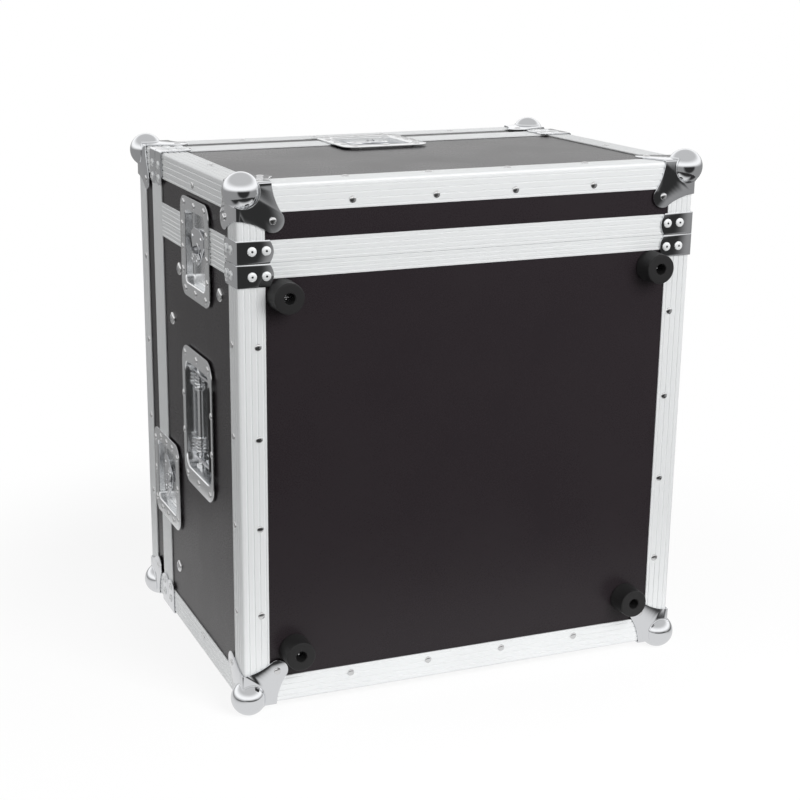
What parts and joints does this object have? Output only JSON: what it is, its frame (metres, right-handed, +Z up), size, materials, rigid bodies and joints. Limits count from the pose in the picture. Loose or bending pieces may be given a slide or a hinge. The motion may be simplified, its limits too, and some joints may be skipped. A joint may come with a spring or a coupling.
{
  "type": "flight case",
  "caption": "Small laminated flight case with aluminium edging, ball corners, butterfly latches, sprung handles and rack rails, a lift-off lid and a pull-off back cover.",
  "frame": {"origin": "on the floor under the middle of the case's box, between its lowest ball corners", "axes": "+Z up as the case stands on its end, -Y toward the side with the rubber feet, +Y toward the pull-off cover, +X to the right as the feet are faced"},
  "size_m": [0.554, 0.4214, 0.594],
  "materials": {
    "laminate": "dark brown-black phenolic laminate on plywood, slightly glossy",
    "aluminium": "satin ribbed extrusion and pressed sheet",
    "chrome": "bright plating",
    "steel": "zinc plated",
    "rubber": "black, matt"
  },
  "bodies": {
    "body": {"body_front_panel": "laminate", "body_bottom_panel": "laminate", "body_left_panel": "laminate", "body_right_panel": "laminate", "body_edging": "aluminium", "body_rims": "aluminium", "body_left_ball_corner": "chrome", "body_right_ball_corner": "chrome", "upper_left_foot": "rubber", "upper_right_foot": "rubber", "lower_left_foot": "rubber", "lower_right_foot": "rubber", "left_top_rack_rail": "steel", "right_top_rack_rail": "steel", "left_back_rack_rail": "steel", "right_back_rack_rail": "steel", "left_handle_dish": "aluminium", "right_handle_dish": "aluminium", "left_lid_latch_dish": "aluminium", "right_lid_latch_dish": "aluminium", "left_cover_latch_dish": "aluminium", "right_cover_latch_dish": "aluminium"},
    "lid": {"lid_shell": "laminate", "lid_edging": "aluminium", "lid_rims": "aluminium", "lid_left_ball_corner": "chrome", "lid_right_ball_corner": "chrome", "left_lid_latch_strike": "aluminium", "right_lid_latch_strike": "aluminium", "top_cover_latch_dish": "aluminium"},
    "cover": {"cover_back_panel": "laminate", "cover_walls": "laminate", "cover_edging": "aluminium", "cover_rims": "aluminium", "cover_low_left_ball_corner": "chrome", "cover_low_right_ball_corner": "chrome", "cover_top_left_ball_corner": "chrome", "cover_top_right_ball_corner": "chrome", "left_cover_latch_strike": "aluminium", "right_cover_latch_strike": "aluminium", "top_cover_latch_strike": "aluminium"},
    "left_handle": {"left_handle_bow": "chrome", "left_handle_grip": "rubber"},
    "right_handle": {"right_handle_bow": "chrome", "right_handle_grip": "rubber"},
    "left_lid_hook": {"left_lid_latch_hook": "chrome"},
    "left_lid_post": {"left_lid_latch_post": "steel"},
    "left_lid_key": {"left_lid_latch_key": "chrome"},
    "right_lid_hook": {"right_lid_latch_hook": "chrome"},
    "right_lid_post": {"right_lid_latch_post": "steel"},
    "right_lid_key": {"right_lid_latch_key": "chrome"},
    "left_cover_hook": {"left_cover_latch_hook": "chrome"},
    "left_cover_post": {"left_cover_latch_post": "steel"},
    "left_cover_key": {"left_cover_latch_key": "chrome"},
    "right_cover_hook": {"right_cover_latch_hook": "chrome"},
    "right_cover_post": {"right_cover_latch_post": "steel"},
    "right_cover_key": {"right_cover_latch_key": "chrome"},
    "top_cover_hook": {"top_cover_latch_hook": "chrome"},
    "top_cover_post": {"top_cover_latch_post": "steel"},
    "top_cover_key": {"top_cover_latch_key": "chrome"}
  },
  "joints": [
    {"name": "lid_lift", "type": "slide", "parent": "body", "child": "lid", "axis": [0, 0, 1], "range_m": [0, 0.3]},
    {"name": "cover_pull", "type": "slide", "parent": "body", "child": "cover", "axis": [0, 1, 0], "range_m": [0, 0.3]},
    {"name": "left_handle_swing", "type": "hinge", "parent": "body", "child": "left_handle", "pos_m": [-0.2525, -0.00025, 0.294], "axis": [0, 0, -1], "range_deg": [0, 90], "stiffness_Nm_per_rad": 0.12, "springref_deg": -34.38},
    {"name": "right_handle_swing", "type": "hinge", "parent": "body", "child": "right_handle", "pos_m": [0.2525, -0.00025, 0.294], "axis": [0, 0, 1], "range_deg": [0, 90], "stiffness_Nm_per_rad": 0.12, "springref_deg": -34.38},
    {"name": "left_lid_turn", "type": "hinge", "parent": "body", "child": "left_lid_post", "pos_m": [-0.265, -0.04025, 0.4915], "axis": [-1, 0, 0], "range_deg": [0, 180]},
    {"name": "left_lid_flip", "type": "hinge", "parent": "left_lid_post", "child": "left_lid_key", "pos_m": [-0.2655, -0.04025, 0.4915], "axis": [0, 1, 0], "range_deg": [0, 90]},
    {"name": "left_lid_draw", "type": "slide", "parent": "body", "child": "left_lid_hook", "axis": [1, 0, 0], "range_m": [0, 0.0035]},
    {"name": "right_lid_turn", "type": "hinge", "parent": "body", "child": "right_lid_post", "pos_m": [0.265, -0.04025, 0.4915], "axis": [1, 0, 0], "range_deg": [0, 180]},
    {"name": "right_lid_flip", "type": "hinge", "parent": "right_lid_post", "child": "right_lid_key", "pos_m": [0.2655, -0.04025, 0.4915], "axis": [0, -1, 0], "range_deg": [0, 90]},
    {"name": "right_lid_draw", "type": "slide", "parent": "body", "child": "right_lid_hook", "axis": [-1, 0, 0], "range_m": [0, 0.0035]},
    {"name": "left_cover_turn", "type": "hinge", "parent": "body", "child": "left_cover_post", "pos_m": [-0.265, 0.10625, 0.185], "axis": [-1, 0, 0], "range_deg": [0, 180]},
    {"name": "left_cover_flip", "type": "hinge", "parent": "left_cover_post", "child": "left_cover_key", "pos_m": [-0.2655, 0.10625, 0.185], "axis": [0, 0, -1], "range_deg": [0, 90]},
    {"name": "left_cover_draw", "type": "slide", "parent": "body", "child": "left_cover_hook", "axis": [1, 0, 0], "range_m": [0, 0.0035]},
    {"name": "right_cover_turn", "type": "hinge", "parent": "body", "child": "right_cover_post", "pos_m": [0.265, 0.10625, 0.185], "axis": [1, 0, 0], "range_deg": [0, 180]},
    {"name": "right_cover_flip", "type": "hinge", "parent": "right_cover_post", "child": "right_cover_key", "pos_m": [0.2655, 0.10625, 0.185], "axis": [0, 0, 1], "range_deg": [0, 90]},
    {"name": "right_cover_draw", "type": "slide", "parent": "body", "child": "right_cover_hook", "axis": [-1, 0, 0], "range_m": [0, 0.0035]},
    {"name": "top_cover_turn", "type": "hinge", "parent": "lid", "child": "top_cover_post", "pos_m": [0, 0.10625, 0.582], "axis": [0, 0, 1], "range_deg": [0, 180]},
    {"name": "top_cover_flip", "type": "hinge", "parent": "top_cover_post", "child": "top_cover_key", "pos_m": [0, 0.10625, 0.5825], "axis": [-1, 0, 0], "range_deg": [0, 90]},
    {"name": "top_cover_draw", "type": "slide", "parent": "lid", "child": "top_cover_hook", "axis": [0, 0, -1], "range_m": [0, 0.0035]}
  ],
  "couplings": [
    {"joint": "left_lid_turn", "follows": "left_lid_draw", "rad_per_m": 897.5},
    {"joint": "right_lid_turn", "follows": "right_lid_draw", "rad_per_m": 897.5},
    {"joint": "left_cover_turn", "follows": "left_cover_draw", "rad_per_m": 897.5},
    {"joint": "right_cover_turn", "follows": "right_cover_draw", "rad_per_m": 897.5},
    {"joint": "top_cover_turn", "follows": "top_cover_draw", "rad_per_m": 897.5}
  ]
}
